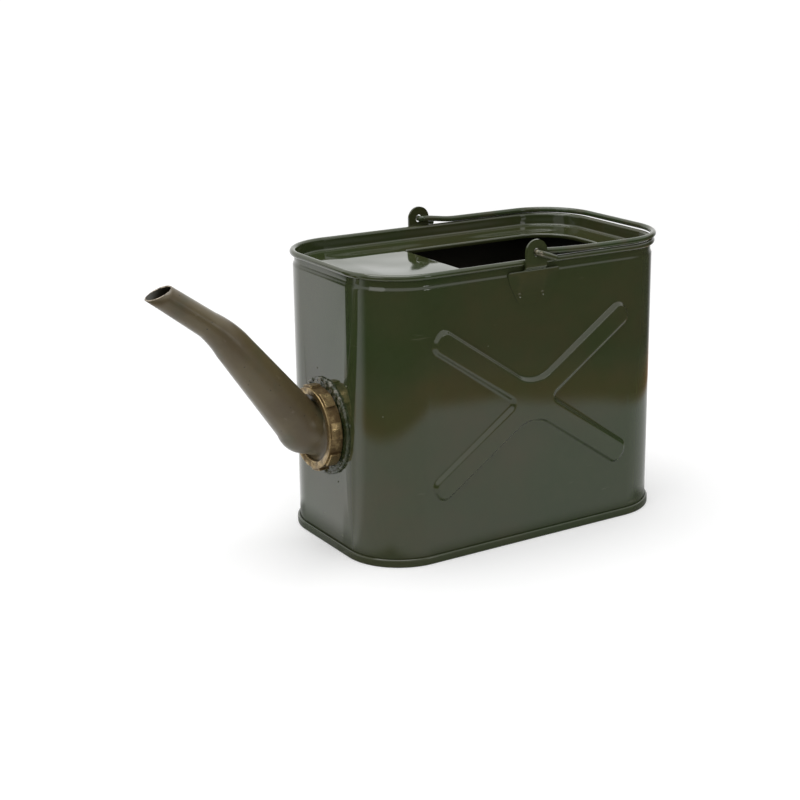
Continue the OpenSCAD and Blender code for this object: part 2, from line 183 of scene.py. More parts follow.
class SpoutSettings(bpy.types.PropertyGroup):
    """Sizes of the spout"""
    flange_r: length("Flange", "Radius of the flange under the lock ring", 32.5)
    flange_out: length("Flange place", "Face of the flange from the end wall", 11.6)
    flange_t: length("Flange thickness", "Thickness of the flange", 1.8)
    flare: length("Flare", "How far the tube widens to its flange", 4)
    swell: length("Swell", "How far the outside of the elbow bulges", 2)
    elbow_r: length("Elbow", "Radius of the tube where the elbow starts", 23.6)
    foot_r: length("Run foot", "Radius of the tube where the elbow ends", 20.6)
    top_r: length("Run top", "Radius of the tube at the top of the long run", 15.1)
    neck_r: length("Upper bend end", "Radius of the tube after its upper bend", 11.4)
    tip_r: length("Tip", "Radius of the tube at its mouth", 10.2)
    wall: length("Wall", "Wall of the spout", 1.2)
    elbow_out: length("Elbow place", "Start of the elbow from the end wall", 8.5)
    elbow_bend: length("Elbow bend", "Bend radius of the elbow", 24)
    run_l: length("Long run", "Length of the long run", 93.6)
    upper_bend: length("Upper bend", "Bend radius of the upper bend", 104)
    tip_l: length("Tip length", "Length of the tip", 50.5)
    rise: angle("Rise", "Slope of the long run", 52.5)
    tip_rise: angle("Tip slope", "Slope of the tip", 37)
    slant: angle("Mouth slant", "Slant of the cut across the tip", 29)


class FinishSettings(bpy.types.PropertyGroup):
    """Colours of the paint and the metal"""
    olive: colour("Olive", "Olive enamel", (0.036, 0.046, 0.018))
    olive_brown: colour("Brown olive", "Browner patches of the enamel", (0.043, 0.044, 0.018))
    olive_green: colour("Green olive", "Greener patches of the enamel", (0.027, 0.042, 0.013))
    spout: colour("Spout", "Brown coat of the spout", (0.100, 0.078, 0.037))
    spout_dark: colour("Spout patches", "Darker and redder patches of the coat", (0.074, 0.053, 0.025))
    brass: colour("Brass", "Worn brass of the lock ring", (0.42, 0.31, 0.15))
    tarnish: colour("Tarnish", "Dark tarnish on the lock ring", (0.13, 0.083, 0.033))
    primer: colour("Primer", "Red primer in a chip", (0.20, 0.050, 0.035))
    bare: colour("Bare edge", "Bare metal on the spout's lip", (0.42, 0.36, 0.28))
    # The inside colour is painted shade: near-black to stand for the shade inside the can and the spout
    inside: colour("Inside", "Dark coat inside the can", (0.020, 0.019, 0.012))
    gloss: share("Gloss", "Roughness of clean enamel", 0.055)


class StudioSettings(bpy.types.PropertyGroup):
    """Camera, floor and light"""
    target_z: length("Target height", "Height that the camera looks at", 125)
    distance: length("Distance", "Distance of the camera from its target", 1457.77)
    azimuth: angle("Azimuth", "Turn of the camera about the can", -33.84)
    elevation: angle("Elevation", "Height of the camera above the horizon", 16.09)
    lens: FloatProperty(name="Lens", description="Focal length in millimetres",
                        default=72.95, min=1)
    shift_x: FloatProperty(name="Shift X", description="Sideways framing", default=-0.094)
    shift_y: FloatProperty(name="Shift Y", description="Upward framing", default=-0.028)
    sky: share("Sky", "Strength of the soft light all round", 0.62, 4)
    key: share("Key", "Power of the lamp on the left, in watts", 2.5, 200)
    top: share("Top", "Power of the lamp overhead, in watts", 16, 200)
    glint: share("Glint", "Power of the small lamp on the right that makes glints, in watts", 1.0, 200)
    backdrop: share("Backdrop", "Brightness of the lit side in reflections", 1.13, 4)
    table: share("Table", "Brightness of the table's near part in reflections", 0.77, 4)
    unlit: share("Unlit side", "Brightness of the unlit side in reflections", 0.055, 4)


SETTINGS = {"can_body": BodySettings, "can_cross": CrossSettings, "can_ear": EarSettings,
            "can_bail": BailSettings, "can_joint": JointSettings, "can_spout": SpoutSettings,
            "can_finish": FinishSettings, "can_studio": StudioSettings}


# ---------- shader maths ----------

class Value:
    """A shader socket that can be used in Python arithmetic."""

    def __init__(self, graph, socket):
        self.graph = graph
        self.socket = socket

    def maths(self, operation, *values):
        """Adds a Math node that works on the values."""
        return self.graph.node("ShaderNodeMath", {"operation": operation}, dict(enumerate(values)))

    def __add__(self, other):
        return self.maths("ADD", self, other)

    def __sub__(self, other):
        return self.maths("SUBTRACT", self, other)

    def __rsub__(self, other):
        return self.maths("SUBTRACT", other, self)

    def __mul__(self, other):
        return self.maths("MULTIPLY", self, other)

    __radd__ = __add__
    __rmul__ = __mul__

    def __abs__(self):
        return self.maths("ABSOLUTE", self)

    def __pow__(self, other):
        return self.maths("POWER", self, other)


class Graph:
    """The nodes of one material or world."""

    def __init__(self, owner):
        owner.use_nodes = True
        self.world = isinstance(owner, bpy.types.World)
        self.tree = owner.node_tree
        self.tree.nodes.clear()

    def node(self, kind, settings=None, values=None, out=0):
        """Adds a node, sets it up, fills its sockets and returns one output."""
        made = self.tree.nodes.new(kind)
        for name, value in (settings or {}).items():
            setattr(made, name, value)
        for name, value in (values or {}).items():
            if isinstance(value, Value):
                self.tree.links.new(value.socket, made.inputs[name])
            else:
                made.inputs[name].default_value = value
        return Value(self, made.outputs[out])

    def place(self):
        """Object coordinates, in metres."""
        return self.node("ShaderNodeTexCoord", out="Object")

    def split(self, vector):
        """The x, y and z of a vector."""
        return [self.node("ShaderNodeSeparateXYZ", {}, {0: vector}, axis) for axis in "XYZ"]

    def noise(self, vector, scale, detail=3.0, roughness=0.55, stretch=None):
        """Soft noise from 0 to 1, with scale in cycles a metre."""
        if stretch:
            vector = self.node("ShaderNodeVectorMath", {"operation": "MULTIPLY"},
                               {0: vector, 1: stretch})
        return self.node("ShaderNodeTexNoise", {}, {"Vector": vector, "Scale": scale,
                                                    "Detail": detail, "Roughness": roughness})

    def step(self, value, low, high):
        """Goes smoothly from 0 to 1 as value goes from low to high."""
        return self.node("ShaderNodeMapRange", {"interpolation_type": "SMOOTHSTEP"},
                         {"Value": value, "From Min": low, "From Max": high})

    def patches(self, vector, scale, detail, low, high, stretch=None):
        """Patches of noise, 0 where it is below low and 1 where it is above high."""
        return self.step(self.noise(vector, scale, detail, stretch=stretch), low, high)

    def mix(self, share_of_b, a, b):
        """Mixes two colours."""
        values = {0: share_of_b, 6: rgba(a), 7: rgba(b)}
        return self.node("ShaderNodeMix", {"data_type": "RGBA"}, values, 2)

    def bump(self, height, distance, normal=None):
        """A normal bent by a height, in units of the distance, on top of another normal."""
        values = {"Height": height, "Distance": distance}
        if normal:
            values["Normal"] = normal
        return self.node("ShaderNodeBump", {}, values, "Normal")

    def surface(self, shader):
        """Joins a shader to the output."""
        kind = "ShaderNodeOutputWorld" if self.world else "ShaderNodeOutputMaterial"
        output = self.tree.nodes.new(kind)
        self.tree.links.new(shader.socket, output.inputs["Surface"])


def rgba(value):
    """A colour with full alpha, or the socket as it is."""
    return value if isinstance(value, Value) else (*value, 1.0)


# ---------- materials ----------

def material(build):
    """The material that build(graph, finish) describes, made on first use."""
    name = "finish_" + build.__name__
    found = bpy.data.materials.get(name)
    if found is None:
        found = bpy.data.materials.new(name)
        graph = Graph(found)
        values = build(graph, settings("can_finish"))
        graph.surface(graph.node("ShaderNodeBsdfPrincipled", {}, values))
    return found


def paint_colour(graph, finish, place):
    """Olive enamel with greener and browner patches."""
    broad = graph.patches(place, 7, 4, 0.34, 0.66)
    small = graph.patches(place, 55, 4, 0.35, 0.7)
    olive = graph.mix(broad, finish.olive_brown, finish.olive_green)
    return graph.mix(small * 0.45, olive, finish.olive)


def specks(graph, place, scale, size, share_kept):
    """Small round specks, where only a share of the cells has one."""
    cells = {"Vector": place, "Scale": scale}
    reach = graph.node("ShaderNodeTexVoronoi", {}, cells, "Distance")
    draw = graph.split(graph.node("ShaderNodeTexVoronoi", {}, cells, "Color"))[0]
    kept = graph.step(draw, 1 - share_kept, 1.001 - share_kept)
    return graph.step(reach, size, size * 0.6) * kept


def within(graph, value, edge, soft):
    """1 where a distance is at least soft inside an edge, fading to 0 at the edge."""
    return graph.step(abs(value), edge, edge - soft)


def olive_paint(graph, finish):
    """Glossy olive enamel on sheet, with dust, fine scuffs and slightly wavy metal."""
    place = graph.place()
    x, y, z = graph.split(place)
    dust = specks(graph, place, 150, 0.14, 0.01)
    scuff = graph.patches(place, 260, 2, 0.70, 0.78, stretch=(0.12, 0.12, 1.0))
    worn = graph.patches(place, 14, 3, 0.45, 0.7) * scuff
    paint = paint_colour(graph, finish, place)
    dusty = graph.mix(dust * 0.2 + worn * 0.2, paint, (0.20, 0.19, 0.14))
    # A chip down to red primer, where the bail's bar lies over the rim
    chip_x = (x - (HALF_L + 1.5 * MM)) * 260
    chip_y = (y - HALF_W * 0.34) * 200
    ragged = graph.noise(place, 420, 2) * 0.8
    on_rim = graph.step(z, TOP_Z - 4 * MM, TOP_Z - 3 * MM)
    chip = graph.step(chip_x ** 2 + chip_y ** 2 + ragged, 0.95, 0.8) * on_rim
    # The top sheet is the wavier one, and it turns down a little towards its edges
    ledge, fade = 15 * MM, 30 * MM
    on_top = (within(graph, x, HALF_L - ledge, fade) * within(graph, y, HALF_W - ledge, fade)
              * graph.step(z, TOP_Z - 40 * MM, TOP_Z - 35 * MM))
    wave = graph.bump(graph.noise(place, 13, 1) * (1 + on_top * 10), 0.35 * MM)
    peel = graph.bump(graph.noise(place, 420, 2), 0.002 * MM, normal=wave)
    smear = graph.patches(place, 24, 3, 0.3, 0.75)
    return {"Base Color": graph.mix(chip, dusty, finish.primer),
            "Roughness": smear * 0.03 + finish.gloss + dust * 0.25 + worn * 0.1,
            "IOR": 1.55, "Normal": peel}


def can_inside(graph, finish):
    """Dull coat inside the can and the spout, near-black as painted shade for the dark inside them, with
    browner stains.
    """
    place = graph.place()
    stain = graph.patches(place, 20, 5, 0.4, 0.7)
    return {"Base Color": graph.mix(stain * 0.6, finish.inside, (0.036, 0.027, 0.016)),
            "Roughness": stain * 0.25 + 0.5, "Specular IOR Level": 0.3,
            "Normal": graph.bump(graph.noise(place, 160, 3), 0.1 * MM)}


def weld_paint(graph, finish):
    """Enamel over a lumpy weld."""
    place = graph.place()
    lumps = graph.noise(place, 330, 4)
    dark_green = graph.mix(0.25, finish.olive_green, (0.0, 0.0, 0.0))
    glint = graph.patches(place, 420, 2, 0.50, 0.58)
    green = graph.mix(graph.step(lumps, 0.4, 0.65) * 0.8, dark_green, finish.olive_brown)
    # Pale patches on the upper part of the weld are a painted highlight, standing for glints on the lumps
    up = graph.split(place)[2] - SPOUT_AXIS.z
    thin = graph.patches(place, 240, 3, 0.47, 0.58) * graph.step(up, 12 * MM, 32 * MM)
    return {"Base Color": graph.mix(thin * 0.75, green, (0.24, 0.225, 0.18)),
            "Roughness": 0.24 - glint * 0.16, "Normal": graph.bump(lumps, 1.2 * MM)}


def wire_paint(graph, finish):
    """Enamel on the bail's wire, rubbed where it turns in the ears."""
    place = graph.place()
    x, y = graph.split(place)[:2]
    near_eye = within(graph, x - PIVOT.x, 6 * MM, 5 * MM) * graph.step(abs(y), 88 * MM, 90.5 * MM)
    rub = near_eye * graph.patches(place, 300, 4, 0.46, 0.6)
    chips = specks(graph, place, 210, 0.2, 0.06)
    brown = graph.patches(place, 45, 4, 0.4, 0.65)
    paint = graph.mix(brown, finish.olive_green, finish.olive_brown)
    return {"Base Color": graph.mix(rub * 0.8 + chips * 0.5, paint, (0.30, 0.27, 0.20)),
            "Roughness": graph.noise(place, 90, 3) * 0.1 + 0.04 + rub * 0.25,
            "Metallic": rub * 0.8,
            "Normal": graph.bump(graph.noise(place, 260, 3), 0.06 * MM)}


def spout_coat(graph, finish):
    """Satin brown coat, mottled, with tiny dark pits."""
    place = graph.place()
    mottle = graph.step(graph.noise(place, 26, 5, 0.6), 0.38, 0.64)
    green = graph.patches(place, 40, 4, 0.52, 0.72)
    pits = specks(graph, place, 240, 0.2, 0.12)
    scuff = graph.patches(place, 500, 2, 0.66, 0.78, stretch=(0.25, 1, 0.25))
    colour = graph.mix(mottle * 0.75, finish.spout, finish.spout_dark)
    colour = graph.mix(green * 0.5, colour, (0.060, 0.066, 0.035))
    colour = graph.mix(pits * 0.7, colour, (0.020, 0.014, 0.009))
    colour = graph.mix(scuff * 0.18, colour, (0.25, 0.22, 0.17))
    height = graph.noise(place, 120, 4) * 0.6 + pits * -0.5
    return {"Base Color": colour, "Roughness": mottle * 0.14 + 0.30 + pits * 0.2,
            "Specular IOR Level": 0.3, "Coat Weight": 0.5, "Coat Roughness": 0.3,
            "Normal": graph.bump(height, 0.12 * MM)}


def spout_lip(graph, finish):
    """Bare chipped metal on the cut edge of the spout."""
    place = graph.place()
    paint_left = graph.patches(place, 330, 4, 0.50, 0.58)
    return {"Base Color": graph.mix(paint_left * 0.85, finish.bare, finish.spout_dark),
            "Roughness": paint_left * 0.2 + 0.34, "Metallic": 1 - paint_left,
            "Normal": graph.bump(graph.noise(place, 500, 3), 0.2 * MM)}


def ring_metal(graph, finish):
    """Brass-brown metal, rubbed bright on its edges and dark in its recesses."""
    place = graph.place()
    x, y, z = graph.split(place)
    radius = ((y - SPOUT_AXIS.y) ** 2 + (z - SPOUT_AXIS.z) ** 2) ** 0.5
    ring_r, lug_r = settings("can_joint").ring_r, RING_HI.z - SPOUT_AXIS.z
    proud = graph.step(radius, ring_r + 0.6 * MM, lug_r - 0.2 * MM)
    face = graph.step(x, RING_LO.x + 1.4 * MM, RING_LO.x + 0.4 * MM)
    rubbed = graph.noise(place, 130, 5, 0.7) + proud * 0.08 + face * 0.10
    bright = graph.step(rubbed, 0.42, 0.74)
    grime = specks(graph, place, 330, 0.3, 0.2)
    colour = graph.mix(bright, finish.tarnish, finish.brass)
    colour = graph.mix(grime * 0.5, colour, (0.05, 0.035, 0.02))
    height = graph.noise(place, 260, 4) + graph.noise(place, 900, 2) * 0.3
    return {"Base Color": colour, "Metallic": bright * 0.35 + 0.6,
            "Roughness": 0.42 - bright * 0.16 + grime * 0.2,
            "Normal": graph.bump(height, 0.3 * MM)}


def gasket_rubber(graph, finish):
    """Dull black rubber with fine bloom."""
    place = graph.place()
    bloom = graph.patches(place, 80, 4, 0.4, 0.7)
    return {"Base Color": graph.mix(bloom, (0.012, 0.012, 0.012), (0.035, 0.034, 0.032)),
            "Roughness": bloom * 0.15 + 0.6,
            "Normal": graph.bump(graph.noise(place, 600, 3), 0.06 * MM)}


# ---------- mesh helpers ----------

def settings(name):
    """One of the property groups on the scene."""
    return getattr(bpy.context.scene, name)


def wire(bm, points):
    """An open wire through the points."""
    verts = [bm.verts.new(point) for point in points]
    return verts + [bm.edges.new(pair) for pair in zip(verts, verts[1:])]


def loop(bm, points):
    """A closed wire through the points."""
    made = wire(bm, points)
    made.append(bm.edges.new((made[len(points) - 1], made[0])))
    return made


def polygon(bm, points):
    """One face through the points."""
    return bm.faces.new([bm.verts.new(point) for point in points])


def arc(middle, radius, start, end, steps):
    """Points on an arc, with its angles in degrees."""
    turns = [math.radians(start + (end - start) * i / steps) for i in range(steps + 1)]
    return [(middle[0] + radius * math.cos(a), middle[1] + radius * math.sin(a)) for a in turns]


def ease(t):
    """A smooth step from 0 to 1."""
    t = min(max(t, 0), 1)
    return t * t * (3 - 2 * t)


def verts_in(geom):
    """The vertices among what an operator returned."""
    return [item for item in geom if isinstance(item, bmesh.types.BMVert)]


def outward(bm):
    """Turns the faces one way, which is outwards on a closed shell."""
    bmesh.ops.recalc_face_normals(bm, faces=bm.faces)


def sweep(bm, geom, turn=0.0, about=(0, 0, 0), axis=UP, move=(0, 0, 0), steps=1):
    """Extrudes wires along a straight move or round an axis, and returns the far end."""
    made = bmesh.ops.spin(bm, geom=geom, cent=about, axis=axis, dvec=move, angle=turn, steps=steps)
    return made["geom_last"]


def revolve(bm, profile, steps=128):
    """Turns a closed outline of (radius, out from the end wall) about the spout's axis."""
    geom = loop(bm, [(-HALF_L - out, 0, SPOUT_AXIS.z + radius) for radius, out in profile])
    bmesh.ops.spin(bm, geom=geom, cent=SPOUT_AXIS, axis=(1, 0, 0), angle=math.tau, steps=steps,
                   use_merge=True)


def round_corner(bm, verts, radius, segments):
    """Rounds corners of a flat face."""
    bmesh.ops.bevel(bm, geom=verts, affect="VERTICES", offset=radius, offset_type="OFFSET",
                    segments=segments, profile=0.5, material=-1, clamp_overlap=False)


def step_in(bm, face, inward, deeper):
    """Insets a face, and moves what is inside along its normal."""
    bmesh.ops.inset_region(bm, faces=[face], thickness=inward, depth=deeper,
                           use_boundary=True, use_even_offset=True)


def open_edges(bm, old):
    """The open edges that aren't among the old ones."""
    return [edge for edge in bm.edges if edge not in old and len(edge.link_faces) < 2]


def rounded_face(bm, corners, segments):
    """A face through the corners, each given as a point and the radius that rounds it."""
    old = set(bm.faces)
    verts = list(polygon(bm, [point for point, _ in corners]).verts)
    for radius in sorted({radius for _, radius in corners}):
        round_corner(bm, [v for v, (_, r) in zip(verts, corners) if r == radius], radius, segments)
    return next(face for face in bm.faces if face not in old)


def fill_between(bm, edges):
    """Fills the flat area between an outer loop and the loops inside it."""
    bmesh.ops.triangle_fill(bm, use_beauty=True, use_dissolve=False, edges=edges)


def close_up(bm, out_from=(0, 0, 0)):
    """Merges doubles and turns all the faces away from a point, judged at the largest face."""
    bmesh.ops.remove_doubles(bm, verts=bm.verts, dist=MERGE)
    outward(bm)
    largest = max(bm.faces, key=lambda face: face.calc_area())
    if largest.normal.dot(largest.calc_center_median() - Vector(out_from)) < 0:
        bmesh.ops.reverse_faces(bm, faces=bm.faces)


def round_body(bm, profile, steps=48):
    """Sweeps an open profile of (outward, up) points once round the body."""
    corner = settings("can_body").corner_r
    run_x, run_y = HALF_L - corner, HALF_W - corner
    geom = wire(bm, [(HALF_L + out, -run_y, z) for out, z in profile])
    for side_x, side_y in ((1, 1), (-1, 1), (-1, -1), (1, -1)):
        along = (0, 2 * run_y * side_y, 0) if side_x == side_y else (2 * run_x * side_x, 0, 0)
        geom = sweep(bm, geom, move=along)
        geom = sweep(bm, geom, QUARTER, (side_x * run_x, side_y * run_y, 0), steps=steps)
    bmesh.ops.remove_doubles(bm, verts=bm.verts, dist=MERGE)


def add_piece(name, bm, materials, body, node=None, sharp=40):
    """Makes the bmesh an object that rides on a body and stands for a CAD node."""
    mesh = bpy.data.meshes.new(name)
    bm.to_mesh(mesh)
    bm.free()
    for made in materials:
        mesh.materials.append(made)
    mesh.shade_smooth()
    mesh.set_sharp_from_angle(angle=math.radians(sharp))
    piece = bpy.data.objects.new(name, mesh)
    bpy.context.collection.objects.link(piece)
    if node:
        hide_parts(node)
    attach(piece, body)
    return piece


def thicken(piece, thickness, inside=0, rim=0):
    """Gives a skin its wall, behind its faces."""
    wall = piece.modifiers.new("wall", "SOLIDIFY")
    wall.thickness = thickness
    wall.offset = -1
    wall.use_even_offset = True
    wall.material_offset = inside
    wall.material_offset_rim = rim


def coat_node(name, made):
    """Gives a CAD node its material."""
    for slot in frame["nodes"][name].material_slots:
        slot.material = made


def even_shading(piece):
    """Keeps large flat faces flat beside their rounded edges."""
    normals = piece.modifiers.new("normals", "WEIGHTED_NORMAL")
    normals.keep_sharp = True


def soften(piece, width):
    """Rounds sharp edges."""
    edges = piece.modifiers.new("edges", "BEVEL")
    edges.width = width
    edges.segments = 3
    edges.limit_method = "ANGLE"
    edges.angle_limit = math.radians(35)
    edges.harden_normals = False


# ---------- body ----------

def cross_outline(cross):
    """Corners of the cross as (along, up) from its middle, each with its fillet."""
    end_x, end_z = cross.reach_x - cross.half_w, cross.reach_z - cross.half_w
    along = Vector((end_x, end_z)).normalized()
    across = Vector((-along.y, along.x))
    tip = Vector((end_x, end_z)) + along * cross.half_w
    near, far = tip - across * cross.half_w, tip + across * cross.half_w
    side, top = cross.half_w / along.y, cross.half_w / along.x
    corners = []
    for turn in (1, -1):
        corners += [((turn * side, 0), cross.tight_fillet),
                    (near * turn, cross.end_r), (far * turn, cross.end_r),
                    ((0, turn * top), cross.wide_fillet),
                    ((-far.x * turn, far.y * turn), cross.end_r),
                    ((-near.x * turn, near.y * turn), cross.end_r)]
    return corners


def press_cross(bm, side, cross):
    """The raised cross on one long wall, and its open outer edges."""
    old = set(bm.edges)
    corners = [((x, side * HALF_W, cross.middle_z + z), fillet)
               for (x, z), fillet in cross_outline(cross)]
    face = rounded_face(bm, corners[::-int(side)], 14)
    rise = WALL_HI.y - HALF_W
    flat = 1 * MM                       # flat strips that keep the slope's shading to itself
    steps = 9
    step_in(bm, face, flat, 0)
    for i in range(steps):
        step_in(bm, face, cross.slope / steps, rise * (ease((i + 1) / steps) - ease(i / steps)))
    step_in(bm, face, flat, 0)
    return open_edges(bm, old)


def make_wall():
    """The painted wall with its neck, the cross on both long sides and the spout's hole."""
    body = settings("can_body")
    joint = settings("can_joint")
    below, curve_h, lead = 1.7 * MM, 4.4 * MM, 0.8 * MM
    start = TOP_Z - body.neck_h - below
    steps = 8
    neck = [(-body.neck_in * ease(i / steps), start + curve_h * i / steps) for i in range(steps + 1)]
    profile = [(0, WALL_LO.z), (0, start - lead)] + neck + [(-body.neck_in, WALL_HI.z)]
    bm = bmesh.new()
    round_body(bm, profile)
    flat_area = 0.01                    # only the four flat walls are larger, in square metres
    flats = [face for face in bm.faces if face.calc_area() > flat_area]
    hole_r = joint.bore_r + joint.spigot_t + joint.spigot_gap
    hole = Matrix.Translation((-HALF_L, 0, SPOUT_AXIS.z)) @ Matrix.Rotation(QUARTER, 4, "Y")
    for face in flats:
        middle = face.calc_center_median()
        border = list(face.edges)
        if abs(middle.x) < MM:
            side = math.copysign(1, middle.y)
        elif middle.x < 0:
            side = 0
        else:
            continue
        bmesh.ops.delete(bm, geom=[face], context="FACES_ONLY")
        old = set(bm.edges)
        if side:
            inner = press_cross(bm, side, settings("can_cross"))
        else:
            bmesh.ops.create_circle(bm, segments=96, radius=hole_r, matrix=hole)
            inner = open_edges(bm, old)
        fill_between(bm, border + inner)
    close_up(bm, (0, 0, TOP_Z / 2))
    piece = add_piece("can_wall", bm, [material(olive_paint), material(can_inside)],
                      "can", "body_shell")
    thicken(piece, body.sheet_t, 1, 1)
    even_shading(piece)


def make_foot():
    """The base sheet and the double seam that joins it to the wall."""
    body = settings("can_body")
    out, high = CHIME_OUT, body.chime_h
    sheet = 6 * MM                      # height of the base sheet's underside
    round_r, inner_r, fold_r = 1.5 * MM, 1.2 * MM, 0.65 * MM
    inner = -1.85 * MM                  # the seam's inner side
    slot = 0.1 * MM                     # clearance round the wall's lower edge
    flat = -14 * MM                     # where the flat fill of the base starts
    in_slot = -body.sheet_t - slot
    profile = [(flat, sheet + body.sheet_t), (in_slot, sheet + body.sheet_t),
               (in_slot, WALL_LO.z - slot), (slot, WALL_LO.z - slot), (slot, high - 0.9 * MM)]
    profile += arc((slot + fold_r, high - fold_r), fold_r, 180, 90, 4)
    profile += arc((out - round_r, high - round_r), round_r, 90, 0, 7)
    profile += arc((out - round_r, round_r), round_r, 0, -90, 7)
    profile += arc((inner + inner_r, inner_r), inner_r, -90, -180, 6)
    profile += arc((inner - inner_r, sheet - inner_r), inner_r, 0, 90, 6)
    profile += [(flat, sheet)]
    bm = bmesh.new()
    round_body(bm, profile)
    bmesh.ops.holes_fill(bm, edges=[edge for edge in bm.edges if edge.is_boundary], sides=0)
    close_up(bm, (0, 0, sheet + body.sheet_t / 2))
    piece = add_piece("foot_seam", bm, [material(olive_paint)], "can", "base_pan")
    even_shading(piece)


def at_height(edges, z):
    """The edges that start at a height."""
    return [edge for edge in edges if abs(edge.verts[0].co.z - z) < 0.01 * MM]


def cut_mouth(bm, body, plate, plate_z):
    """The filling hole's rolled edge and its open outer edges."""
    old = set(bm.edges)
    guard = 1.5 * MM                    # flat strip round the hole
    roll, skirt = 1.6 * MM, 2 * MM      # radius of the rolled edge, and its straight part
    x0 = -HALF_L + plate + body.cover_l - guard
    x1 = HALF_L - plate - body.ledge_end + guard
    half_y = HALF_W - plate - body.ledge_side + guard
    small, large = body.mouth_small_r + guard, body.mouth_r + guard
    face = rounded_face(bm, [((x0, -half_y, plate_z), small), ((x1, -half_y, plate_z), large),
                             ((x1, half_y, plate_z), large), ((x0, half_y, plate_z), small)], 28)
    step_in(bm, face, guard, 0)
    bends = 5
    for i in range(bends):
        a0, a1 = [QUARTER * k / bends for k in (i, i + 1)]
        step_in(bm, face, roll * (math.sin(a1) - math.sin(a0)), roll * (math.cos(a1) - math.cos(a0)))
    step_in(bm, face, 0, -skirt)
    bmesh.ops.delete(bm, geom=[face], context="FACES_ONLY")
    return at_height(open_edges(bm, old), plate_z)


def make_top():
    """The top sheet: ledge round the filling hole, upstand and rolled rim bead."""
    body = settings("can_body")
    plate_z = TOP_Z - body.plate_drop
    bead_r = body.bead_d / 2
    bead = (RIM_HI.x - HALF_L - bead_r, TOP_Z - bead_r)
    upstand = bead[0] - bead_r
    bend = body.plate_bend_r
    flat, lead = 9 * MM, 0.8 * MM
    curl_end = -105                     # degrees, where the bead's edge comes back to the wall
    profile = [(upstand - bend - flat, plate_z), (upstand - bend - lead, plate_z)]
    profile += arc((upstand - bend, plate_z + bend), bend, -90, 0, 8)
    profile += arc(bead, bead_r, 180, curl_end, 26)
    bm = bmesh.new()
    round_body(bm, profile)
    inner = at_height([edge for edge in bm.edges if edge.is_boundary], plate_z)
    fill_between(bm, inner + cut_mouth(bm, body, -upstand, plate_z))
    close_up(bm)
    piece = add_piece("top_sheet", bm, [material(olive_paint), material(can_inside)],
                      "can", "top_plate")
    thicken(piece, body.plate_t, 1)
    even_shading(piece)


def make_ear(side, name, node):
    """One ear: a thin spot-welded shield, and a strap that steps out past the bead to an eye."""
    ear = settings("can_ear")
    eye_r = EAR_HI.z - PIVOT.z
    foot_z = EAR_LO.z
    shield_z = foot_z + ear.shield_h
    foot, top, strap = ear.shield_foot_w / 2, ear.shield_top_w / 2, ear.strap_w / 2
    side_in, side_z = 3.5 * MM, 12 * MM
    step_z = shield_z - 1.6 * MM
    # Corners up one side, each with the radius that rounds it
    half = [((foot, foot_z), 4.5 * MM), ((top - side_in, shield_z - side_z), 3 * MM),
            ((top, shield_z), 5 * MM), ((strap, shield_z), 1.2 * MM),
            ((eye_r, PIVOT.z + eye_r), eye_r)]
    corners = half + [((-x, z), fillet) for (x, z), fillet in half[::-1]]
    bm = bmesh.new()
    rounded_face(bm, [((PIVOT.x + x, 0, z), fillet) for (x, z), fillet in corners], 16)
    bmesh.ops.delete(bm, geom=bm.faces[:], context="FACES_ONLY")
    bmesh.ops.remove_doubles(bm, verts=bm.verts, dist=0.02 * MM)
    upright = Matrix.Rotation(QUARTER, 4, "X")
    hole = Matrix.Translation((PIVOT.x, 0, PIVOT.z)) @ upright
    hole_r = settings("can_bail").wire_d / 2 + ear.hole_clear
    bmesh.ops.create_circle(bm, segments=40, radius=hole_r, matrix=hole)
    spot_sides = 24
    for x, z in ((-14.5 * MM, 8.5 * MM), (9 * MM, 8 * MM)):
        spot = Matrix.Translation((PIVOT.x + x, 0, foot_z + z)) @ upright
        bmesh.ops.create_circle(bm, segments=spot_sides, radius=ear.weld_r, cap_ends=True, matrix=spot)
    fill_between(bm, open_edges(bm, ()))
    # The strap steps out from the wall just below the bead
    joggle, steps = ear.joggle_h, 8
    for i in range(steps + 1):
        bmesh.ops.bisect_plane(bm, geom=bm.verts[:] + bm.edges[:] + bm.faces[:], dist=0.001 * MM,
                               plane_co=(0, 0, step_z + joggle * i / steps), plane_no=UP)
    outward(bm)
    front = bmesh.ops.extrude_face_region(bm, geom=bm.faces[:], use_keep_orig=True)["geom"]
    front_verts = set(verts_in(front))
    front_faces = [item for item in front if isinstance(item, bmesh.types.BMFace)]
    shield_y, strap_y = HALF_W + 0.03 * MM, EAR_HI.y - ear.strap_t
    for v in bm.verts:
        share_out = ease((v.co.z - step_z) / joggle)
        v.co.y = shield_y + (strap_y - shield_y) * share_out
        if v in front_verts:
            v.co.y += ear.shield_t + (ear.strap_t - ear.shield_t) * share_out
    outward(bm)
    # The spot welds are shallow dimples
    dimple_step = 0.7 * MM
    for face in front_faces:
        if len(face.verts) == spot_sides:
            for depth in (0.12 * MM, 0.28 * MM):
                step_in(bm, face, dimple_step, -depth)
    if side < 0:
        bmesh.ops.scale(bm, vec=(1, -1, 1), verts=bm.verts)
    outward(bm)
    piece = add_piece(name, bm, [material(olive_paint)], "can", node, 50)
    soften(piece, 0.4 * MM)


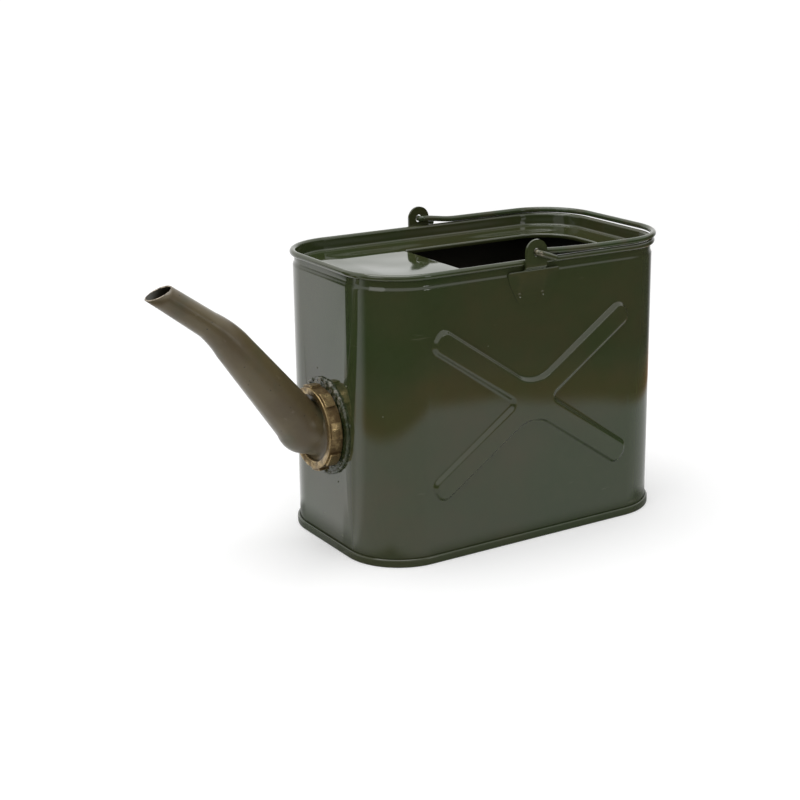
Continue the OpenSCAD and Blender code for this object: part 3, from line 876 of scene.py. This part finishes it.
def make_bail():
    """The wire bail: end bar, round corners, arms and the hooked ends in the ears."""
    bail = settings("can_bail")
    wire_r, bend = bail.wire_d / 2, bail.hook_bend_r
    strap_t = settings("can_ear").strap_t
    strap_y = EAR_HI.y - strap_t
    arm_y = strap_y - bend
    half_bar = arm_y - bail.corner_r
    arm_steps, hook_steps, dome_steps = 32, 12, 5
    bm = bmesh.new()
    upright = Matrix.Translation((bail.reach, 0, 0)) @ Matrix.Rotation(QUARTER, 4, "X")
    bmesh.ops.create_circle(bm, segments=24, radius=wire_r, matrix=upright)
    geom = bm.verts[:] + bm.edges[:]
    geom = sweep(bm, geom, move=(0, half_bar, 0))
    geom = sweep(bm, geom, QUARTER, (bail.reach - bail.corner_r, half_bar, 0), steps=32)
    arm_l = bail.reach - bail.corner_r - bend
    geom = sweep(bm, geom, move=(-arm_l / arm_steps, 0, 0), steps=arm_steps)
    geom = sweep(bm, geom, QUARTER, (bend, strap_y, 0), -UP, steps=hook_steps)
    geom = sweep(bm, geom, move=(0, strap_t, 0))
    droop = Matrix.Rotation(bail.hook_droop, 3, "Y")
    ahead = droop @ Vector((1, 0, 0))
    centre = ahead * bend + Vector((0, EAR_HI.y, 0))
    geom = sweep(bm, geom, QUARTER, centre, droop @ -UP, steps=hook_steps)
    geom = sweep(bm, geom, move=ahead * bail.hook_l)
    # The cut end of the wire is slightly domed
    dome_h = 0.7 * wire_r
    for i in range(dome_steps):
        a0, a1 = [QUARTER * k / dome_steps for k in (i, i + 1)]
        geom = sweep(bm, geom, move=ahead * dome_h * (math.sin(a1) - math.sin(a0)))
        verts = verts_in(geom)
        middle = sum((v.co for v in verts), Vector()) / len(verts)
        shrink = max(math.cos(a1), 0.05) / math.cos(a0)
        bmesh.ops.scale(bm, vec=(shrink,) * 3, space=Matrix.Translation(-middle), verts=verts)
    bmesh.ops.edgeloop_fill(bm, edges=[g for g in geom if isinstance(g, bmesh.types.BMEdge)])
    bmesh.ops.mirror(bm, geom=bm.verts[:] + bm.edges[:] + bm.faces[:], axis="Y", merge_dist=0.01 * MM)
    # The front arm bows down a little, and the back arm is bent onto the rim
    eye_gap = PIVOT.z - wire_r - TOP_Z
    bow_peak = 4 / 27                   # the most that along * (1 - along) ** 2 comes to
    bend_end = 0.22                     # share of the arm over which the back one is bent
    for v in bm.verts:
        along = min((v.co.x - bend) / (bail.reach - bend), 1)
        if along > 0 and abs(v.co.y) < arm_y + wire_r + 0.1 * MM:
            bow = bail.bow / bow_peak * along * (1 - along) ** 2
            gap = eye_gap * (1 - along) + bail.bar_gap * along
            bent = bail.bent * gap * ease(along / bend_end)
            back_share = ease(v.co.y / half_bar + 0.5)
            v.co.z -= bow * (1 - back_share) + bent * back_share
    slope = math.asin((eye_gap - bail.bar_gap) / bail.reach)
    place = Matrix.Translation(PIVOT) @ Matrix.Rotation(slope, 4, "Y")
    bmesh.ops.transform(bm, matrix=place, verts=bm.verts)
    bmesh.ops.remove_doubles(bm, verts=bm.verts, dist=MERGE)
    outward(bm)
    add_piece("bail_wire", bm, [material(wire_paint)], "bail", "bail")


# ---------- spout and its joint ----------

def make_socket():
    """The socket's flange and neck, with the weld bead and spatter round them."""
    joint = settings("can_joint")
    flange_r = SOCKET_HI.z - SPOUT_AXIS.z
    flange, neck = joint.flange_t, joint.flange_t + joint.neck_l
    edge, fillet = 1.2 * MM, 1.5 * MM
    back = -settings("can_body").sheet_t
    spigot_r, seat = joint.bore_r + joint.spigot_t, 0.02 * MM
    profile = [(joint.bore_r, back), (joint.bore_r, neck), (joint.neck_r, neck)]
    profile += arc((joint.neck_r + fillet, flange + fillet), fillet, 180, 270, 5)
    profile += arc((flange_r - edge, flange - edge), edge, 90, 0, 5)
    profile += [(flange_r, seat), (spigot_r, seat), (spigot_r, back)]
    bm = bmesh.new()
    revolve(bm, profile)
    outward(bm)
    paint = [material(weld_paint)]
    piece = add_piece("spout_socket_neck", bm, paint, "can", "spout_socket", 50)
    soften(piece, 0.3 * MM)

    bm = bmesh.new()
    bead_r, bead_out = flange_r - 1.4 * MM, 0.6 * MM
    lump_h, ripple_h, ripples = 0.8 * MM, 0.2 * MM, 90
    revolve(bm, arc((bead_r, bead_out), joint.weld_r, 0, 340, 12), 260)
    for v in bm.verts:
        across = Vector((0, v.co.y, v.co.z - SPOUT_AXIS.z))
        lump = noise.fractal(v.co * 210, 0.8, 2.0, 3)
        ripple = math.sin(ripples * math.atan2(across.y, across.z) + 2 * lump)
        middle = Vector((-HALF_L - bead_out, 0, SPOUT_AXIS.z)) + across.normalized() * bead_r
        v.co += (v.co - middle).normalized() * (lump_h * lump + ripple_h * ripple)
    # Drops of spatter on the wall, as (across, up, radius) in millimetres
    spatter = ((32, 66.9, 1.0), (-35.2, 83.9, 1.1), (-33.7, 128.5, 1.0), (-42.6, 117.8, 1.5),
               (-37.6, 151, 0.8), (-40.5, 92.5, 1.2), (24, 60.5, 0.7), (39.5, 131, 0.9),
               (12, 155.5, 0.8), (-20, 62.5, 0.9))
    flatter = Matrix.Diagonal((0.7, 1, 1, 1))
    sunk = 0.05 * MM
    for across, up, radius in spatter:
        place = Matrix.Translation((-HALF_L + sunk, across * MM, up * MM)) @ flatter
        bmesh.ops.create_icosphere(bm, subdivisions=3, radius=radius * MM, matrix=place)
    outward(bm)
    add_piece("socket_weld", bm, paint, "can")


def make_ring():
    """The lock ring with its lugs."""
    joint = settings("can_joint")
    back, front = -HALF_L - RING_HI.x, -HALF_L - RING_LO.x
    low, high = back + joint.lug_inset, front - joint.lug_inset
    chamfer_r, chamfer_x = 1.6 * MM, 0.9 * MM
    profile = [(joint.ring_bore_r, back), (joint.ring_r, back), (joint.ring_r, low),
               (joint.ring_r, high), (joint.ring_r, front),
               (joint.lip_r + chamfer_r, front), (joint.lip_r, front - chamfer_x),
               (joint.lip_r, front - joint.lip_t), (joint.ring_bore_r, front - joint.lip_t)]
    bm = bmesh.new()
    around = 16 * joint.lugs
    revolve(bm, profile, around)
    turn = Matrix.Rotation(joint.lug_start, 3, "X")
    bmesh.ops.rotate(bm, cent=SPOUT_AXIS, matrix=turn, verts=bm.verts)
    lug_r = RING_HI.z - SPOUT_AXIS.z
    pitch = math.tau / joint.lugs
    margin = 0.25 * MM                  # the middle of a flat face is a little inside the radius
    lugs = []
    for face in bm.faces:
        middle = face.calc_center_median()
        reach = math.hypot(middle.y, middle.z - SPOUT_AXIS.z)
        out = -HALF_L - middle.x
        round_by = math.atan2(middle.z - SPOUT_AXIS.z, -middle.y) - joint.lug_start
        if reach > joint.ring_r - margin and low < out < high and round_by % pitch < pitch / 2:
            lugs.append(face)
    raised = bmesh.ops.extrude_face_region(bm, geom=lugs)["geom"]
    grow = math.cos(math.pi / around) * lug_r / joint.ring_r
    bmesh.ops.scale(bm, vec=(1, grow, grow), space=Matrix.Translation(-SPOUT_AXIS),
                    verts=verts_in(raised))
    outward(bm)
    piece = add_piece("lock_ring_lugs", bm, [material(ring_metal)], "lock_ring",
                      "lock_ring", 35)
    soften(piece, 0.45 * MM)


def spout_rings(spout):
    """Rings of the spout's skin as (place, swell, outer side, centre), from flange to tip."""
    rings = []
    flare_steps, elbow_steps, run_steps, bend_steps, tip_steps = 7, 14, 12, 10, 8

    def add(centre, tilt, radius, swell=0.0):
        turned = Matrix.Rotation(tilt, 4, "Y")
        rings.append((Matrix.Translation(centre) @ turned @ Matrix.Scale(radius, 4), swell,
                      turned.to_3x3() @ Vector((0, 0, -1)), centre))

    base = Vector((-HALF_L - spout.elbow_out, 0, SPOUT_AXIS.z))

    def elbow(a):
        return base + Vector((-math.sin(a), 0, 1 - math.cos(a))) * spout.elbow_bend

    def elbow_radius(a):
        return spout.elbow_r + (spout.foot_r - spout.elbow_r) * a / spout.rise

    flange = Vector((-HALF_L - spout.flange_out, 0, SPOUT_AXIS.z))
    # Rings close to the flange's two edges keep its face flat in shading
    edge, inner_edge = 0.6 * MM, 0.9 * MM
    for radius in (spout.flange_r, spout.flange_r - edge, spout.elbow_r + spout.flare + inner_edge):
        add(flange, 0, radius)
    for i in range(flare_steps + 1):
        h = spout.flare * i / flare_steps
        a = math.asin((spout.flange_out + h - spout.elbow_out) / spout.elbow_bend)
        narrow = math.sqrt(max(1 - (1 - h / spout.flare) ** 2, 0))
        centre = elbow(a)
        centre.z = SPOUT_AXIS.z + (centre.z - SPOUT_AXIS.z) * i / flare_steps
        add(centre, a * i / flare_steps, elbow_radius(a) + spout.flare * (1 - narrow))
    first = a
    for i in range(1, elbow_steps + 1):
        a = first + (spout.rise - first) * i / elbow_steps
        add(elbow(a), a, elbow_radius(a), spout.swell * math.sin(math.pi * i / elbow_steps))
    centre = elbow(spout.rise)
    ahead = Vector((-math.cos(spout.rise), 0, math.sin(spout.rise)))
    for i in range(1, run_steps + 1):
        share_up = i / run_steps
        add(centre + ahead * spout.run_l * share_up, spout.rise,
            spout.foot_r + (spout.top_r - spout.foot_r) * share_up)
    centre = centre + ahead * spout.run_l
    middle = centre + Vector((-math.sin(spout.rise), 0, -math.cos(spout.rise))) * spout.upper_bend
    for i in range(1, bend_steps + 1):
        a = spout.rise + (spout.tip_rise - spout.rise) * i / bend_steps
        place = middle + Vector((math.sin(a), 0, math.cos(a))) * spout.upper_bend
        add(place, a, spout.top_r + (spout.neck_r - spout.top_r) * i / bend_steps)
    ahead = Vector((-math.cos(spout.tip_rise), 0, math.sin(spout.tip_rise)))
    for i in range(1, tip_steps + 1):
        add(place + ahead * spout.tip_l * i / tip_steps, spout.tip_rise,
            spout.neck_r + (spout.tip_r - spout.neck_r) * i / tip_steps)
    return rings


def make_spout():
    """The bent, tapering spout with its flange, flared foot and slanting, nicked mouth."""
    spout = settings("can_spout")
    rings = spout_rings(spout)
    bm = bmesh.new()
    first = rings[0][0]
    bmesh.ops.create_circle(bm, segments=72, radius=1,
                            matrix=first @ Matrix.Rotation(QUARTER, 4, "Y"))
    geom = bm.verts[:] + bm.edges[:]
    swells = []
    last = first
    for place, swell, outer, centre in rings[1:]:
        geom = sweep(bm, geom)
        verts = verts_in(geom)
        bmesh.ops.transform(bm, matrix=place @ last.inverted(), verts=verts)
        swells.append((verts, swell, outer, centre))
        last = place
    for verts, swell, outer, centre in swells:
        for v in verts:
            lean = (v.co - centre).normalized().dot(outer)
            v.co += outer * swell * max(lean, 0) ** 2
    # The mouth is cut on a slant, and its edge is nicked
    tip_verts, _, outer, centre = swells[-1]
    ahead = Vector((outer.z, 0, -outer.x))
    nick_h = 0.45 * MM
    for v in tip_verts:
        lean = (v.co - centre).dot(outer)
        nick = nick_h * max(noise.noise(v.co * 330), 0)
        v.co += ahead * (math.tan(spout.slant) * lean - nick)
    close_up(bm, rings[len(rings) // 2][3])
    coats = [material(spout_coat), material(can_inside), material(spout_lip)]
    piece = add_piece("spout_tube", bm, coats, "can", "spout")
    thicken(piece, spout.wall, 1, 2)


# ---------- stage ----------

def bright_side(graph, x, y):
    """The light side of the studio, from 0 to 1, by the direction from the can."""
    turn = graph.node("ShaderNodeMath", {"operation": "ARCTAN2"}, {0: y, 1: x})

    def sector(start, end, start_soft, end_soft):
        """1 between two directions, in degrees, with a soft change at each."""
        rising = graph.step(turn, math.radians(start - start_soft), math.radians(start + start_soft))
        return rising * (1 - graph.step(turn, math.radians(end - end_soft), math.radians(end + end_soft)))

    return sector(22, 120, 18, 1) + sector(146, 170, 6, 10) * 0.85


def make_world(studio):
    """White to the camera, soft light all round, and a lit and an unlit side in reflections."""
    world = bpy.data.worlds.new("studio")
    bpy.context.scene.world = world
    graph = Graph(world)
    direction = graph.node("ShaderNodeTexCoord", out="Generated")
    x, y, z = graph.split(direction)
    # Well above the horizon it is light all round
    high, high_light = graph.step(z, 0.22, 0.42), 0.95
    light_side = bright_side(graph, x, y) * (1 - high) + high * high_light
    camera_ray = graph.node("ShaderNodeLightPath", out="Is Camera Ray")
    glossy_ray = graph.node("ShaderNodeLightPath", out="Is Glossy Ray")
    reflected = light_side * (studio.backdrop - studio.unlit) + studio.unlit
    level = glossy_ray * reflected + (1 - glossy_ray) * studio.sky
    strength = camera_ray + (1 - camera_ray) * level
    graph.surface(graph.node("ShaderNodeBackground", {}, {"Color": (1, 1, 1, 1), "Strength": strength}))


def floor_material(studio):
    """Pale floor, lit evenly for the camera, with the can's shadow on it."""
    found = bpy.data.materials.new("studio_floor")
    graph = Graph(found)
    x, y = graph.split(graph.place())[:2]
    reach = (x ** 2 + y ** 2) ** 0.5
    # In reflections the table ends in a soft, warm edge at this distance on the unlit side
    table_r, edge_soft, edge_end, edge_glow = 0.46, 0.07, 0.75, 0.22
    far = graph.step(reach, table_r, table_r + edge_soft)
    lit = bright_side(graph, x + 0.15, y + 0.03)    # as seen from the spout's side of the can
    level = lit * studio.backdrop + (1 - lit) * (studio.table + far * (studio.unlit - studio.table))
    edge = far * (1 - graph.step(reach, table_r + edge_soft, edge_end)) * (1 - lit)
    # The can shades the table close to its own foot
    shade_w, shade_soft, shade = 35 * MM, 30 * MM, 0.7
    beside = (within(graph, x, HALF_L + shade_w, shade_soft)
              * within(graph, y, HALF_W + shade_w, shade_soft))
    level = level * (1 - beside * shade)
    camera_ray = graph.node("ShaderNodeLightPath", out="Is Camera Ray")
    glossy_ray = graph.node("ShaderNodeLightPath", out="Is Glossy Ray")
    diffuse = graph.node("ShaderNodeBsdfDiffuse", {}, {"Color": (0.68, 0.68, 0.68, 1)})
    # The glow lifts the floor to white, and more so further out
    glow_level = 0.36 + graph.step(reach, 0.6, 3.0) * 0.3
    glow = graph.node("ShaderNodeEmission", {}, {"Color": (1, 1, 1, 1), "Strength": glow_level})
    seen = graph.node("ShaderNodeAddShader", {}, {0: diffuse, 1: glow})
    warm = graph.mix(edge, (1, 1, 1), (1.0, 0.55, 0.30))
    mirrored = graph.node("ShaderNodeEmission", {}, {"Color": warm, "Strength": level + edge * edge_glow})
    plain = graph.node("ShaderNodeBsdfDiffuse", {}, {"Color": (0.8, 0.8, 0.8, 1)})
    other = graph.node("ShaderNodeMixShader", {}, {0: glossy_ray, 1: plain, 2: mirrored})
    graph.surface(graph.node("ShaderNodeMixShader", {}, {0: camera_ray, 1: other, 2: seen}))
    return found


def soft_lamp(name, place, size, power, target=(0, 0, 0.12)):
    """A square area lamp that faces the can."""
    light = bpy.data.lights.new(name, "AREA")
    light.size = size
    light.energy = power
    lamp = bpy.data.objects.new(name, light)
    lamp.location = place
    lamp.rotation_euler = (Vector(target) - Vector(place)).to_track_quat("-Z", "Y").to_euler()
    bpy.context.collection.objects.link(lamp)


def make_stage():
    """The world, the floor, the three lamps and the camera."""
    studio = settings("can_studio")
    bpy.context.scene.view_settings.view_transform = "Standard"
    make_world(studio)
    bm = bmesh.new()
    bmesh.ops.create_grid(bm, x_segments=1, y_segments=1, size=15)
    mesh = bpy.data.meshes.new("studio_floor")
    bm.to_mesh(mesh)
    bm.free()
    mesh.materials.append(floor_material(studio))
    floor = bpy.data.objects.new("studio_floor", mesh)
    bpy.context.collection.objects.link(floor)
    soft_lamp("overhead", (-0.1, 0.1, 1.6), 1.2, studio.top)
    soft_lamp("left_front", (-1.5, -0.5, 0.8), 0.8, studio.key)
    soft_lamp("front_right", (0.5, -1.35, 0.45), 0.3, studio.glint)
    lens = bpy.data.cameras.new("camera")
    lens.lens = studio.lens
    lens.shift_x = studio.shift_x
    lens.shift_y = studio.shift_y
    camera = bpy.data.objects.new("camera", lens)
    target = Vector((0, 0, studio.target_z))
    level = math.cos(studio.elevation)
    back = Vector((math.sin(studio.azimuth) * level, -math.cos(studio.azimuth) * level,
                   math.sin(studio.elevation)))
    camera.location = target + back * studio.distance
    camera.rotation_euler = (-back).to_track_quat("-Z", "Y").to_euler()
    bpy.context.collection.objects.link(camera)
    bpy.context.scene.camera = camera


# ---------- operators ----------

class CAN_OT_stage(bpy.types.Operator):
    """Make the camera, the pale floor and the soft light"""
    bl_idname = "can.stage"
    bl_label = "Stage"

    def execute(self, context):
        make_stage()
        return {"FINISHED"}


class CAN_OT_wall(bpy.types.Operator):
    """Make the painted wall with its pressed cross"""
    bl_idname = "can.wall"
    bl_label = "Wall"

    def execute(self, context):
        make_wall()
        return {"FINISHED"}


class CAN_OT_foot(bpy.types.Operator):
    """Make the base sheet and its double seam"""
    bl_idname = "can.foot"
    bl_label = "Foot Seam"

    def execute(self, context):
        make_foot()
        return {"FINISHED"}


class CAN_OT_top(bpy.types.Operator):
    """Make the top sheet with its filling hole and rim bead"""
    bl_idname = "can.top"
    bl_label = "Top Sheet"

    def execute(self, context):
        make_top()
        return {"FINISHED"}


class CAN_OT_ears(bpy.types.Operator):
    """Make the two welded ears"""
    bl_idname = "can.ears"
    bl_label = "Ears"

    def execute(self, context):
        make_ear(-1, "ear_front_plate", "ear_front")
        make_ear(1, "ear_back_plate", "ear_back")
        return {"FINISHED"}


class CAN_OT_bail(bpy.types.Operator):
    """Make the wire bail"""
    bl_idname = "can.bail"
    bl_label = "Bail"

    def execute(self, context):
        make_bail()
        return {"FINISHED"}


class CAN_OT_socket(bpy.types.Operator):
    """Make the welded socket, and coat the gasket"""
    bl_idname = "can.socket"
    bl_label = "Socket"

    def execute(self, context):
        make_socket()
        coat_node("gasket", material(gasket_rubber))
        return {"FINISHED"}


class CAN_OT_ring(bpy.types.Operator):
    """Make the lock ring"""
    bl_idname = "can.ring"
    bl_label = "Lock Ring"

    def execute(self, context):
        make_ring()
        return {"FINISHED"}


class CAN_OT_spout(bpy.types.Operator):
    """Make the spout"""
    bl_idname = "can.spout"
    bl_label = "Spout"

    def execute(self, context):
        make_spout()
        return {"FINISHED"}


class CAN_PT_panel(bpy.types.Panel):
    """Lists the pieces of the can and their sizes"""
    bl_idname = "CAN_PT_panel"
    bl_label = "Watering Can"
    bl_space_type = "VIEW_3D"
    bl_region_type = "UI"
    bl_category = "Watering Can"

    def draw(self, context):
        for piece in PIECES:
            self.layout.operator(piece.bl_idname)
        for name in SETTINGS:
            box = self.layout.box()
            group = getattr(context.scene, name)
            for value in group.bl_rna.properties.keys()[2:]:
                box.prop(group, value)


PIECES = (CAN_OT_stage, CAN_OT_wall, CAN_OT_foot, CAN_OT_top, CAN_OT_ears, CAN_OT_bail, CAN_OT_socket,
          CAN_OT_ring, CAN_OT_spout)


def register():
    for kind in (*SETTINGS.values(), *PIECES, CAN_PT_panel):
        bpy.utils.register_class(kind)
    for name, kind in SETTINGS.items():
        setattr(bpy.types.Scene, name, PointerProperty(type=kind))


def unregister():
    for name in SETTINGS:
        delattr(bpy.types.Scene, name)
    for kind in reversed((*SETTINGS.values(), *PIECES, CAN_PT_panel)):
        bpy.utils.unregister_class(kind)


def main():
    register()
    for piece in PIECES:
        area, name = piece.bl_idname.split(".")
        getattr(getattr(bpy.ops, area), name)()


if __name__ == "__main__":
    main()
